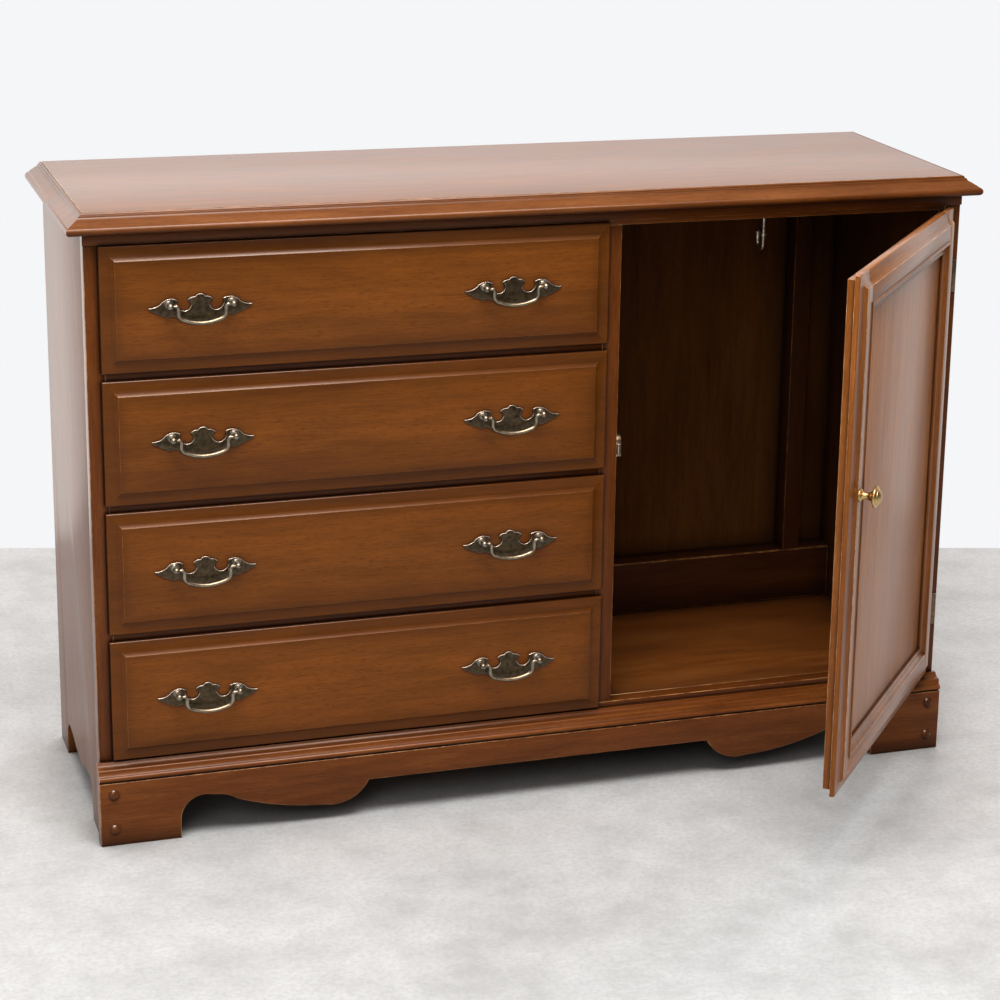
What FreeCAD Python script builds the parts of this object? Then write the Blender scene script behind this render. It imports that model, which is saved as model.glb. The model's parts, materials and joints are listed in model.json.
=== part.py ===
import FreeCAD, Part
import math
import os

V = FreeCAD.Vector

# All sizes are millimetres. The origin lies on the floor, under the middle of the rear base board;
# X runs to the right, Y to the back and Z up, so the front of the face frame looks along -Y.

# Body
body_width = 1146.0
body_depth = 350.0
overall_height = 800.0
top_thickness = 19.0
side_thickness = 22.0
back_thickness = 6.0
face_frame_thickness = 20.0
centre_stile_width = 23.0
frieze_height = 14.5
frieze_projection = 2.0
frieze_end_projection = 1.0

# Top edge moulding
crown_height = 24.0
crown_overhang = 21.5
groove_width = 0.9
groove_depth = 1.2

# Drawer and cupboard openings in the face frame
drawer_count = 4
drawer_opening_width = 629.0
drawer_rail_height = 19.5
bottom_rail_height = 53.0
front_gap = 1.0
base_gap = 2.0

# Moulded fronts of the drawers and the door, levels measured forward of the frame
lip_lap = 5.0
lip_stand_off = 0.5
lip_projection = 7.0
lip_edge_radius = 2.0
lip_band_width = 13.5
lip_band_rise = 1.6
field_rise = 6.0
rebate_depth = 10.0
rebate_fit = 1.5

# Drawer boxes
drawer_side_thickness = 11.0
drawer_rear_clearance = 24.0
drawer_side_drop = 8.0
drawer_slide_gap = 0.3
drawer_back_thickness = 12.0
drawer_bottom_thickness = 5.0
drawer_bottom_height = 8.0
drawer_groove_depth = 5.0
tail_count = 4
tail_length = 9.0
tail_root_width = 20.0
tail_end_width = 26.0
runner_width = 20.0
runner_height = 18.0

# Cupboard
cupboard_floor_thickness = 16.0
back_rail_depth = 33.0
lower_back_rail_height = 77.0
upper_back_rail_height = 46.0
back_post_width = 25.0
back_post_from_side = 49.0

# Door
door_member_width = 38.0
door_panel_recess = 8.0
door_panel_thickness = 8.0
door_panel_groove = 6.0
door_moulding_width = 16.0
door_rest_angle = 50.0

# Door hinges
hinge_leaf_height = 44.0
hinge_leaf_thickness = 1.2
hinge_frame_leaf_width = 12.0
hinge_barrel_radius = 2.5
hinge_pin_radius = 1.2
hinge_pin_fit = 0.08
hinge_knuckle_gap = 0.4
hinge_tip_radius = 2.7
hinge_axis_from_lip = 3.5
hinge_axis_from_frame = 3.5
hinge_from_bottom = 85.0
hinge_from_top = 89.5

# Door knob, catch and strike
knob_above_middle = 55.0
knob_from_lip = 26.0
knob_projection = 27.0
knob_head_radius = 13.5
knob_stem_radius = 4.4
knob_flange_radius = 8.0
catch_height = 28.0
catch_width = 12.0
catch_depth = 22.0
catch_above_middle = 12.0
catch_nose_radius = 3.0
catch_setback = 1.8
strike_thickness = 1.2
strike_width = 20.0
strike_inset = 4.0

# Coat hook under the top
hook_from_right = 261.0
hook_from_front = 42.0
hook_wire_radius = 2.2
hook_drop = 79.0
hook_bend_radius = 9.5
hook_collar_drop = 56.0

# Drawer pulls
pull_spacing = 392.0
pull_lift = 5.5
pull_shift = -5.0
post_spacing = 76.2
post_reach = 14.0
post_ball_radius = 4.3
plate_thickness = 1.6
bail_pin_radius = 1.8
bail_pin_fit = 0.06
bail_wire_radius = 2.4
bail_half_width = 28.5

# Base
apron_height = 84.0
apron_thickness = 21.0
apron_end_overhang = 3.5
apron_foot_width = 97.5
apron_foot_straight = 25.0
apron_arch_run = 41.0
apron_arch_height = 54.0
apron_bend_run = 72.0
apron_bend_height = 44.5
apron_lobe_run = 185.0
apron_lobe_height = 22.5
apron_cusp_run = 242.5
apron_middle_height = 50.0
base_moulding_height = 22.0
peg_radius = 7.0
peg_dome = 3.6
peg_inset = 14.0
peg_heights = (21.0, 68.0)
side_foot_width = 66.0
side_foot_straight = 26.0
side_arch_run = 24.0
side_arch_height = 50.0
side_middle_height = 38.0
rear_foot_width = 62.0
rear_board_thickness = 19.0
rear_board_height = 90.0

# Planes worked out from the sizes above
half_width = body_width / 2
rear_y = rear_foot_width - rear_board_thickness / 2
face_y = rear_y - body_depth
frame_back_y = face_y + face_frame_thickness
back_front_y = rear_y - back_thickness
top_underside = overall_height - top_thickness
crown_bottom = overall_height - crown_height
opening_top = crown_bottom - frieze_height - front_gap - lip_lap
opening_bottom = apron_height + base_moulding_height + base_gap + lip_lap
opening_height = opening_top - opening_bottom
drawer_opening_height = (opening_height - (drawer_count - 1) * drawer_rail_height) / drawer_count
drawer_pitch = drawer_opening_height + drawer_rail_height
drawer_left = side_thickness - half_width
drawer_right = drawer_left + drawer_opening_width
cupboard_left = drawer_right + centre_stile_width
cupboard_right = half_width - side_thickness
lip_back_y = face_y - lip_stand_off
lip_front_y = face_y - lip_projection
field_y = lip_front_y - field_rise
rebate_back_y = face_y + rebate_depth
drawer_side_length = back_front_y - drawer_rear_clearance - rebate_back_y
door_left = cupboard_left - lip_lap
door_right = cupboard_right + lip_lap
door_bottom = opening_bottom - lip_lap
door_top = opening_top + lip_lap
hinge_x = door_right + hinge_axis_from_lip
hinge_y = face_y - hinge_axis_from_frame
hinge_heights = (opening_bottom + hinge_from_bottom, opening_top - hinge_from_top)
opening_middle = (opening_bottom + opening_top) / 2
knob_height = opening_middle + knob_above_middle
catch_bottom = opening_middle + catch_above_middle


# Small helpers
def box(x0, x1, y0, y1, z0, z1):
    return Part.makeBox(x1 - x0, y1 - y0, z1 - z0, V(x0, y0, z0))


def outline(place, start, *steps):
    """A closed face: a step is a point for a line, or (mid point, end point) for an arc."""
    edges = []
    here = start
    for step in steps:
        if isinstance(step[0], tuple):
            through, there = step
            edges.append(Part.Arc(place(*here), place(*through), place(*there)).toShape())
        else:
            there = step
            edges.append(Part.makeLine(place(*here), place(*there)))
        here = there
    if here != start:
        edges.append(Part.makeLine(place(*here), place(*start)))
    return Part.Face(Part.Wire(edges))


def ogee(start, end):
    """Two arcs from one level tangent to another, as steps for an outline."""
    middle = ((start[0] + end[0]) / 2, (start[1] + end[1]) / 2)
    run = middle[0] - start[0]
    drop = start[1] - middle[1]
    radius = (run * run + drop * drop) / (2 * drop)
    bow = radius - (radius * radius - run * run / 4) ** 0.5
    first = (start[0] + run / 2, start[1] - bow)
    second = (end[0] - run / 2, end[1] + bow)
    return (first, middle), (second, end)


def mirror_steps(start, steps, mirror_at):
    """The steps that carry an outline back along its own reflection."""
    points = [(None, start)]
    for step in steps:
        points.append(step if isinstance(step[0], tuple) else (None, step))
    flipped = []
    for index in range(len(points) - 1, 0, -1):
        through = points[index][0]
        there = (2 * mirror_at - points[index - 1][1][0], points[index - 1][1][1])
        if through is None:
            flipped.append(there)
        else:
            flipped.append(((2 * mirror_at - through[0], through[1]), there))
    return flipped


def level_prism(corners, z0, z1):
    face = outline(lambda x, y: V(x, y, z0), *corners)
    return face.extrude(V(0, 0, z1 - z0))


def lies_in(edge, y):
    bounds = edge.BoundBox
    return abs(bounds.YMin - y) < 1e-6 and abs(bounds.YMax - y) < 1e-6


def fillet_front(solid, radius, y):
    """Rounds the edges of a block that lie in its front plane."""
    return solid.makeFillet(radius, [edge for edge in solid.Edges if lies_in(edge, y)])


def sloped_block(x0, x1, y_front, y_back, z0, z1, inset):
    """A block whose four sides draw in by an inset towards its front."""
    wires = []
    for y, shrink in ((y_back, 0.0), (y_front, inset)):
        corners = [
            V(x0 + shrink, y, z0 + shrink),
            V(x1 - shrink, y, z0 + shrink),
            V(x1 - shrink, y, z1 - shrink),
            V(x0 + shrink, y, z1 - shrink),
        ]
        wires.append(Part.makePolygon(corners + corners[:1]))
    return Part.makeLoft(wires, True, True)


def turned(profile_points, x, y, z):
    """A solid of revolution about a line along Y; points are (radius, forward) or arcs of them."""
    face = outline(lambda r, forward: V(x + r, y - forward, z), *profile_points)
    return face.revolve(V(x, y, z), V(0, 1, 0), 360)


def dome(radius, forward, height):
    """The half arc of a spherical cap that ends on the axis, as a step for a turned profile."""
    sphere = (radius * radius + height * height) / (2 * height)
    half_angle = math.asin(radius / sphere) / 2
    through = (sphere * math.sin(half_angle), forward + height - sphere * (1 - math.cos(half_angle)))
    return through, (0.0, forward + height)


def rod(start, end, wire):
    return Part.makeCylinder(wire, start.distanceToPoint(end), start, end - start)


def rod_bend(place, centre, radius, start, sweep, wire):
    """Round rod bent about a centre, from a start angle through a sweep, in degrees."""
    at = math.radians(start)
    hub = place(*centre)
    spoke = place(centre[0] + math.cos(at), centre[1] + math.sin(at)) - hub
    axis = (place(centre[0] + 1, centre[1]) - hub).cross(place(centre[0], centre[1] + 1) - hub)
    ring = Part.makeCircle(wire, hub + spoke * radius, axis.cross(spoke))
    return Part.Face(Part.Wire([ring])).revolve(hub, axis, sweep)


def save(node, *solids):
    shape = solids[0] if len(solids) == 1 else Part.makeCompound(list(solids))
    shape.exportStep("parts/" + node + ".step")


# Carcass
def top_panel():
    board = box(-half_width, half_width, face_y, rear_y, top_underside, overall_height)
    edges = []
    for edge in board.Edges:
        bounds = edge.BoundBox
        on_top = bounds.ZMin > overall_height - 0.1
        at_back = bounds.YMin > rear_y - 0.1
        if on_top and not at_back:
            edges.append(edge)
    return board.makeChamfer(groove_width, edges)


def crown_section(place):
    """The top's edge: a small step, a long gentle slope and a full nose over a flat soffit."""
    nose = crown_overhang
    return outline(
        place,
        (0.0, 0.0),
        (nose - 5.6, 0.0),
        ((nose, 5.4), (nose - 3.6, 10.6)),
        ((nose - 10.4, 15.3), (5.4, 18.6)),
        (5.0, 20.6),
        (2.8, 21.4),
        ((2.3, 22.9), (1.4, crown_height)),
        (groove_width, crown_height),
        (0.0, crown_height - groove_depth),
    )


def top_edge_moulding():
    reach = 2 * crown_overhang
    far_x = half_width + reach
    front_run = crown_section(lambda out, up: V(-far_x, face_y - out, crown_bottom + up))
    front_run = front_run.extrude(V(2 * far_x, 0, 0))
    zone = level_prism(
        [(-half_width, face_y), (half_width, face_y), (far_x, face_y - reach), (-far_x, face_y - reach)],
        crown_bottom - 1,
        overall_height + 1,
    )
    pieces = [front_run.common(zone)]
    for side in (-1, 1):
        run = crown_section(lambda out, up: V(side * (half_width + out), face_y - reach, crown_bottom + up))
        run = run.extrude(V(0, body_depth + reach, 0))
        zone = level_prism(
            [
                (side * half_width, rear_y),
                (side * half_width, face_y),
                (side * far_x, face_y - reach),
                (side * far_x, rear_y),
            ],
            crown_bottom - 1,
            overall_height + 1,
        )
        pieces.append(run.common(zone))
    return pieces


def frieze():
    reach = half_width + frieze_end_projection
    return box(-reach, reach, face_y - frieze_projection, face_y, crown_bottom - frieze_height, crown_bottom)


def side_panel(side):
    """A side board down to the floor, its lower edge cut to two feet with a low arch between."""
    front_foot = face_y + side_foot_width
    rear_foot = rear_y - rear_foot_width
    middle = (front_foot + rear_foot) / 2
    peak = (front_foot + side_arch_run, side_arch_height)
    arch = [
        (front_foot, side_foot_straight),
        ((front_foot + 0.3 * side_arch_run, side_arch_height - 7.0), peak),
        *ogee(peak, (middle, side_middle_height)),
    ]
    outer = side * half_width
    inner = side * (half_width - side_thickness)
    panel = outline(
        lambda y, z: V(outer, y, z),
        (frame_back_y, 0.0),
        (front_foot, 0.0),
        *arch,
        *mirror_steps((front_foot, 0.0), arch, middle),
        (rear_y, 0.0),
        (rear_y, top_underside),
        (frame_back_y, top_underside),
    )
    return panel.extrude(V(inner - outer, 0, 0))


def stile(x0, x1, z0, z1):
    return box(x0, x1, face_y, frame_back_y, z0, z1)


def drawer_rails():
    rails = []
    for row in range(1, drawer_count):
        z1 = opening_top - row * drawer_pitch + drawer_rail_height
        rails.append(stile(drawer_left, drawer_right, z1 - drawer_rail_height, z1))
    return rails


def drawer_runners():
    runners = []
    for row in range(drawer_count):
        z1 = opening_top - row * drawer_pitch - drawer_opening_height
        for x0 in (drawer_left, drawer_right - runner_width):
            runners.append(box(x0, x0 + runner_width, frame_back_y, back_front_y, z1 - runner_height, z1))
    return runners


def partition():
    """The upright board between the drawers and the cupboard, behind the centre stile."""
    return box(drawer_right, cupboard_left, frame_back_y, back_front_y, rear_board_height, top_underside)


def back_panel():
    return box(drawer_left, cupboard_right, back_front_y, rear_y, rear_board_height, top_underside)


def cupboard_floor():
    z0 = opening_bottom - cupboard_floor_thickness
    return box(cupboard_left, cupboard_right, frame_back_y, back_front_y, z0, opening_bottom)


def back_rails():
    y0 = back_front_y - back_rail_depth
    lower_top = opening_bottom + lower_back_rail_height
    lower = box(cupboard_left, cupboard_right, y0, back_front_y, opening_bottom, lower_top)
    upper_bottom = top_underside - upper_back_rail_height
    upper = box(cupboard_left, cupboard_right, y0, back_front_y, upper_bottom, top_underside)
    return lower, upper


def back_post():
    x1 = cupboard_right - back_post_from_side
    z0 = opening_bottom + lower_back_rail_height
    z1 = top_underside - upper_back_rail_height
    return box(x1 - back_post_width, x1, back_front_y - back_rail_depth, back_front_y, z0, z1)


# Base
def apron_outline(y):
    """The scalloped lower edge: bracket feet, ogee arches, pendant lobes and a level middle."""
    left = -half_width - apron_end_overhang
    foot = left + apron_foot_width + apron_end_overhang
    arch = (foot + apron_arch_run, apron_arch_height)
    bend = (foot + apron_bend_run, apron_bend_height)
    lobe = (foot + apron_lobe_run, apron_lobe_height)
    cusp = (foot + apron_cusp_run, apron_middle_height)
    half = [
        (foot, apron_foot_straight),
        ((foot + 0.2 * apron_arch_run, apron_foot_straight + 21.0), arch),
        (((arch[0] + bend[0]) / 2, arch[1] - 1.9), bend),
        (((bend[0] + lobe[0]) / 2, lobe[1] + 6.3), lobe),
        ((cusp[0] - 17.0, lobe[1] + 7.6), cusp),
    ]
    return outline(
        lambda x, z: V(x, y, z),
        (left, 0.0),
        (foot, 0.0),
        *half,
        (-cusp[0], cusp[1]),
        *mirror_steps((foot, 0.0), half, 0.0),
        (-left, 0.0),
        (-left, apron_height),
        (left, apron_height),
    )


def base_apron():
    return apron_outline(face_y).extrude(V(0, -apron_thickness, 0))


def base_moulding():
    """A sloped top, a ledge, an upright band and a bead that overhangs the apron's edge."""
    end = half_width + apron_end_overhang
    full = apron_thickness + 1.0
    section = outline(
        lambda out, up: V(-end, face_y - out, apron_height + up),
        (0.0, 0.0),
        (full - 4.5, 0.0),
        (full - 4.5, 1.6),
        ((full, 4.9), (full - 2.4, 8.2)),
        (full - 4.9, 8.9),
        (full - 5.4, 14.4),
        ((full - 6.2, 15.8), (full - 7.6, 16.2)),
        (full - 9.8, 16.6),
        ((full - 14.2, 18.2), (full - 16.4, base_moulding_height - 0.7)),
        ((full - 17.0, base_moulding_height - 0.1), (full - 17.8, base_moulding_height)),
        (0.0, base_moulding_height),
    )
    return section.extrude(V(2 * end, 0, 0))


def apron_pegs():
    pegs = []
    for side in (-1, 1):
        for height in peg_heights:
            pegs.append(
                turned(
                    [(0.0, 0.0), (peg_radius, 0.0), dome(peg_radius, 0.0, peg_dome)],
                    side * (half_width - peg_inset),
                    face_y - apron_thickness,
                    height,
                )
            )
    return pegs


def rear_base_board():
    y0 = rear_y - rear_foot_width
    return box(drawer_left, cupboard_right, y0, y0 + rear_board_thickness, 0.0, rear_board_height)


# Moulded fronts
def lipped_slab(x0, x1, z0, z1):
    """A front that laps the frame all round: a sloped border up to a field with bevelled edges."""
    lip = fillet_front(box(x0, x1, lip_front_y, lip_back_y, z0, z1), lip_edge_radius, lip_front_y)
    rim = lip_edge_radius
    band_y = lip_front_y - lip_band_rise
    slope = lip_band_width - rim
    border = sloped_block(x0 + rim, x1 - rim, band_y, lip_front_y, z0 + rim, z1 - rim, slope)
    band = lip_band_width
    bevel = field_rise - lip_band_rise
    field = sloped_block(x0 + band, x1 - band, field_y, band_y, z0 + band, z1 - band, bevel)
    inset = lip_lap + rebate_fit
    core = box(x0 + inset, x1 - inset, lip_back_y, rebate_back_y, z0 + inset, z1 - inset)
    return lip.fuse([border, field, core]).removeSplitter()


# Drawers, drawn in the top opening and then lowered to their own
def drawer_side(x0, z0, z1, first_tail):
    """A side board whose front end is cut to dovetails that lap into the front."""
    rear = rebate_back_y + drawer_side_length
    points = [(rebate_back_y, z0)]
    pitch = (z1 - first_tail) / tail_count
    for tail in range(tail_count):
        centre = first_tail + (tail + 0.5) * pitch
        points.append((rebate_back_y, centre - tail_root_width / 2))
        points.append((rebate_back_y - tail_length, centre - tail_end_width / 2))
        points.append((rebate_back_y - tail_length, centre + tail_end_width / 2))
        points.append((rebate_back_y, centre + tail_root_width / 2))
    points += [(rebate_back_y, z1), (rear, z1), (rear, z0)]
    face = outline(lambda y, z: V(x0, y, z), *points)
    return face.extrude(V(drawer_side_thickness, 0, 0))


def drawer_pieces():
    inner_bottom = opening_top - drawer_opening_height
    x0 = drawer_left + rebate_fit
    x1 = drawer_right - rebate_fit
    z0 = inner_bottom + drawer_slide_gap
    z1 = opening_top - drawer_side_drop
    rear = rebate_back_y + drawer_side_length
    first_tail = inner_bottom + rebate_fit
    left = drawer_side(x0, z0, z1, first_tail)
    right = drawer_side(x1 - drawer_side_thickness, z0, z1, first_tail)
    panel_z = z0 + drawer_bottom_height
    bottom = box(
        x0 + drawer_side_thickness - drawer_groove_depth,
        x1 - drawer_side_thickness + drawer_groove_depth,
        rebate_back_y - drawer_groove_depth,
        rear,
        panel_z,
        panel_z + drawer_bottom_thickness,
    )
    back = box(
        x0 + drawer_side_thickness,
        x1 - drawer_side_thickness,
        rear - drawer_back_thickness,
        rear,
        panel_z + drawer_bottom_thickness,
        z1,
    )
    slab = lipped_slab(
        drawer_left - lip_lap, drawer_right + lip_lap, inner_bottom - lip_lap, opening_top + lip_lap
    )
    front = slab.cut(left).cut(right).cut(bottom)
    return front, left.cut(bottom), right.cut(bottom), back, bottom


# Pulls, drawn about their own centre with the drawer's face at y = 0
def pull_plate():
    """A bat-wing plate: hooked wings under the posts and a crested shield between them."""
    unit = post_spacing / 76.2
    right_half = [
        ((3.6, 10.9), (6.0, 8.3)),
        ((10.6, 7.9), (15.4, 4.6)),
        ((11.4, 1.4), (11.6, -3.4)),
        ((17.4, -8.4), (25.4, -6.0)),
        ((28.4, -1.4), (27.6, 4.8)),
        ((37.2, 6.8), (48.6, 0.4)),
        ((55.0, -2.7), (62.4, -3.3)),
        ((59.6, -6.8), (54.6, -8.6)),
        ((51.0, -11.4), (46.4, -12.0)),
        ((42.6, -15.0), (37.6, -15.2)),
        ((33.4, -14.4), (29.4, -15.8)),
        ((15.4, -22.4), (0.0, -24.0)),
    ]
    crest = (0.0, 11.7)
    left_half = mirror_steps(crest, right_half, 0.0)
    face = outline(lambda u, v: V(unit * u, 0, unit * v), crest, *right_half, *left_half)
    return face.extrude(V(0, -plate_thickness, 0))


def pull_post(side):
    """A turned post with a ball head, bored from its inner side for the bail's pin."""
    u = side * post_spacing / 2
    base = plate_thickness
    ball = post_ball_radius
    neck = 2.6
    rise = (ball * ball - neck * neck) ** 0.5
    post = turned(
        [
            (0.0, base),
            (5.0, base),
            ((4.4, base + 1.5), (neck, base + 2.2)),
            (neck, post_reach - rise),
            ((ball, post_reach), (0.0, post_reach + ball)),
        ],
        u,
        0.0,
        0.0,
    )
    bore_length = 2 * ball
    bore_end = u + side * 2.0
    bore = Part.makeCylinder(
        bail_pin_radius + bail_pin_fit, bore_length, V(bore_end, -post_reach, 0), V(-side, 0, 0)
    )
    return post.cut(bore)


def bail():
    """A willow bail: level pins, a sharp swan bend and a shallow sagging grip."""
    wire = bail_wire_radius
    leg = bail_half_width
    bend_radius = 3.2
    corner_radius = 9.0
    corner = (leg - corner_radius, -8.6)
    sag_angle = math.radians(23.0)
    sag_end = (
        corner[0] + corner_radius * math.sin(sag_angle),
        corner[1] - corner_radius * math.cos(sag_angle),
    )
    sag_radius = sag_end[0] / math.sin(sag_angle)
    sag_centre = (0.0, sag_end[1] + sag_radius * math.cos(sag_angle))
    pin_end = post_spacing / 2 + 1.6
    pieces = []
    for side in (-1, 1):

        def place(u, v):
            return V(side * u, -post_reach, v)

        pieces.append(rod(place(leg + bend_radius, 0.0), place(pin_end, 0.0), bail_pin_radius))
        pieces.append(rod_bend(place, (leg + bend_radius, -bend_radius), bend_radius, 90.0, 90.0, wire))
        pieces.append(rod(place(leg, -bend_radius), place(leg, corner[1]), wire))
        sweep = math.degrees(sag_angle) - 90.0
        pieces.append(rod_bend(place, corner, corner_radius, 0.0, sweep, wire))
    grip = rod_bend(
        lambda u, v: V(u, -post_reach, v),
        sag_centre,
        sag_radius,
        -90.0 - math.degrees(sag_angle),
        2 * math.degrees(sag_angle),
        wire,
    )
    return grip.fuse(pieces)


# Door, drawn closed and then swung to its rest
def door_pieces():
    slab = lipped_slab(door_left, door_right, door_bottom, door_top)
    width = door_member_width
    x0 = door_left + width
    x1 = door_right - width
    z0 = door_bottom + width
    z1 = door_top - width
    groove = door_panel_groove
    panel_front = field_y + door_panel_recess
    panel_back = panel_front + door_panel_thickness
    panel = box(x0 - groove, x1 + groove, panel_front, panel_back, z0 - groove, z1 + groove)
    frame = slab.cut(box(x0, x1, field_y - 1, rebate_back_y + 1, z0, z1)).cut(panel)
    below = door_bottom - 1
    above = door_top + 1
    front = field_y - 1
    back = rebate_back_y + 1
    latch_stile = frame.common(box(door_left - 1, x0, front, back, below, above))
    hinge_stile = frame.common(box(x1, door_right + 1, front, back, below, above))
    bottom_rail = frame.common(box(x0, x1, front, back, below, z0))
    top_rail = frame.common(box(x0, x1, front, back, z1, above))
    for height in hinge_heights:
        hinge_stile = hinge_stile.cut(hinge_door_plate(height))
    return latch_stile, hinge_stile, (bottom_rail, top_rail), panel


def door_moulding():
    """Four mitred lengths with two ridges, seated on the panel inside the frame."""
    width = door_moulding_width
    x0 = door_left + door_member_width
    x1 = door_right - door_member_width
    z0 = door_bottom + door_member_width
    z1 = door_top - door_member_width
    seat = field_y + door_panel_recess

    def section(place):
        return outline(
            place,
            (0.0, 0.0),
            (0.0, 7.6),
            ((2.6, 9.4), (5.0, 7.4)),
            ((7.8, 4.6), (11.4, 3.6)),
            ((13.6, 4.2), (15.4, 2.2)),
            (width, 0.0),
        )

    def slope_prism(corners):
        face = outline(lambda x, z: V(x, seat - 12.0, z), *corners)
        return face.extrude(V(0, 13.0, 0))

    middle_z0 = z0 + width * 1.5
    middle_z1 = z1 - width * 1.5
    middle_x0 = x0 + width * 1.5
    middle_x1 = x1 - width * 1.5
    bottom = section(lambda w, f: V(x0, seat - f, z0 + w)).extrude(V(x1 - x0, 0, 0))
    top = section(lambda w, f: V(x0, seat - f, z1 - w)).extrude(V(x1 - x0, 0, 0))
    left = section(lambda w, f: V(x0 + w, seat - f, z0)).extrude(V(0, 0, z1 - z0))
    right = section(lambda w, f: V(x1 - w, seat - f, z0)).extrude(V(0, 0, z1 - z0))
    return (
        bottom.common(slope_prism([(x0, z0), (x1, z0), (middle_x1, middle_z0), (middle_x0, middle_z0)])),
        top.common(slope_prism([(x0, z1), (x1, z1), (middle_x1, middle_z1), (middle_x0, middle_z1)])),
        left.common(slope_prism([(x0, z0), (x0, z1), (middle_x0, middle_z1), (middle_x0, middle_z0)])),
        right.common(slope_prism([(x1, z0), (x1, z1), (middle_x1, middle_z1), (middle_x1, middle_z0)])),
    )


def door_knob():
    """A turned knob: flange, waisted stem and a ringed disc with a domed centre."""
    stem = knob_stem_radius
    head = knob_head_radius
    crown = head - 5.5
    crown_at = knob_projection - 2.6
    return turned(
        [
            (0.0, 0.0),
            (knob_flange_radius, 0.0),
            ((knob_flange_radius - 0.3, 1.4), (knob_flange_radius - 1.6, 2.2)),
            ((stem + 0.8, 3.6), (stem, 6.6)),
            ((stem + 0.4, 11.6), (stem + 3.4, 15.6)),
            (head - 1.6, 17.6),
            ((head, 19.2), (head - 1.4, 21.4)),
            ((head - 3.2, 21.9), (head - 3.8, 23.2)),
            (crown, crown_at),
            dome(crown, crown_at, knob_projection - crown_at),
        ],
        door_left + knob_from_lip,
        field_y,
        knob_height,
    )


# Hinges
def knuckle_heights(height):
    """The three knuckles of a hinge as (low, high) pairs, bottom to top."""
    low = height - hinge_leaf_height / 2
    high = height + hinge_leaf_height / 2
    sixth = hinge_leaf_height / 6
    gap = hinge_knuckle_gap / 2
    return (
        (low, height - sixth - gap),
        (height - sixth + gap, height + sixth - gap),
        (height + sixth + gap, high),
    )


def hinge_frame_leaf(height):
    """The leaf on the stile with its two knuckles, the pin and its ball tips."""
    axis = V(0, 0, 1)
    low = height - hinge_leaf_height / 2
    high = height + hinge_leaf_height / 2
    middle_low, middle_high = knuckle_heights(height)[1]
    leaf = box(hinge_x, hinge_x + hinge_frame_leaf_width, face_y - hinge_leaf_thickness, face_y, low, high)
    clear = hinge_barrel_radius + hinge_knuckle_gap
    gap = hinge_knuckle_gap
    leaf = leaf.cut(
        box(hinge_x - 1, hinge_x + clear, face_y - 2, face_y + 1, middle_low - gap, middle_high + gap)
    )
    parts = [Part.makeCylinder(hinge_pin_radius, high - low, V(hinge_x, hinge_y, low), axis)]
    for z0, z1 in (knuckle_heights(height)[0], knuckle_heights(height)[2]):
        parts.append(Part.makeCylinder(hinge_barrel_radius, z1 - z0, V(hinge_x, hinge_y, z0), axis))
        parts.append(box(hinge_x, hinge_x + hinge_barrel_radius, hinge_y + 1.0, face_y, z0, z1))
    for z, lift in ((low, -1), (high, 1)):
        centre = V(hinge_x, hinge_y, z + lift * hinge_tip_radius * 0.8)
        parts.append(Part.makeSphere(hinge_tip_radius, centre))
    return leaf.fuse(parts).removeSplitter()


def hinge_door_plate(height):
    """The cranked leaf let into the back of the lip and the edge of the door."""
    low = height - hinge_leaf_height / 2
    high = height + hinge_leaf_height / 2
    thick = hinge_leaf_thickness
    edge_x = cupboard_right - rebate_fit
    under_lip = box(edge_x - thick, door_right, lip_back_y - thick, lip_back_y, low, high)
    along_edge = box(edge_x - thick, edge_x, lip_back_y - thick, rebate_back_y, low, high)
    return under_lip.fuse(along_edge).removeSplitter()


def hinge_door_leaf(height):
    """The door's leaf with its one knuckle, bored for the pin."""
    axis = V(0, 0, 1)
    z0, z1 = knuckle_heights(height)[1]
    knuckle = Part.makeCylinder(hinge_barrel_radius, z1 - z0, V(hinge_x, hinge_y, z0), axis)
    tongue = box(door_right, hinge_x, lip_back_y - hinge_leaf_thickness, lip_back_y, z0, z1)
    bore = Part.makeCylinder(hinge_pin_radius + hinge_pin_fit, z1 - z0 + 2, V(hinge_x, hinge_y, z0 - 1), axis)
    return hinge_door_plate(height).fuse([knuckle, tongue]).cut(bore).removeSplitter()


# Catch and strike
def catch():
    """A small spring catch with a rounded top, screwed to the partition behind the face frame."""
    y0 = rebate_back_y + strike_thickness + catch_setback
    y1 = y0 + catch_depth
    top = catch_bottom + catch_height
    case = outline(
        lambda y, z: V(cupboard_left, y, z),
        (y0 + catch_nose_radius, catch_bottom),
        (y1, catch_bottom),
        (y1, top - 8.0),
        (((y0 + y1) / 2, top), (y0 + catch_nose_radius, top - 8.0)),
    )
    case = case.extrude(V(catch_width, 0, 0))
    nose_x = cupboard_left + catch_width - catch_nose_radius - 1.0
    nose = Part.makeCylinder(
        catch_nose_radius,
        catch_height - 14.0,
        V(nose_x, y0 + catch_nose_radius, catch_bottom + 3.0),
        V(0, 0, 1),
    )
    return case.fuse(nose).removeSplitter()


def strike_plate():
    x0 = cupboard_left + rebate_fit + strike_inset
    z1 = catch_bottom + catch_height
    return box(x0, x0 + strike_width, rebate_back_y, rebate_back_y + strike_thickness, catch_bottom, z1)


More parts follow.
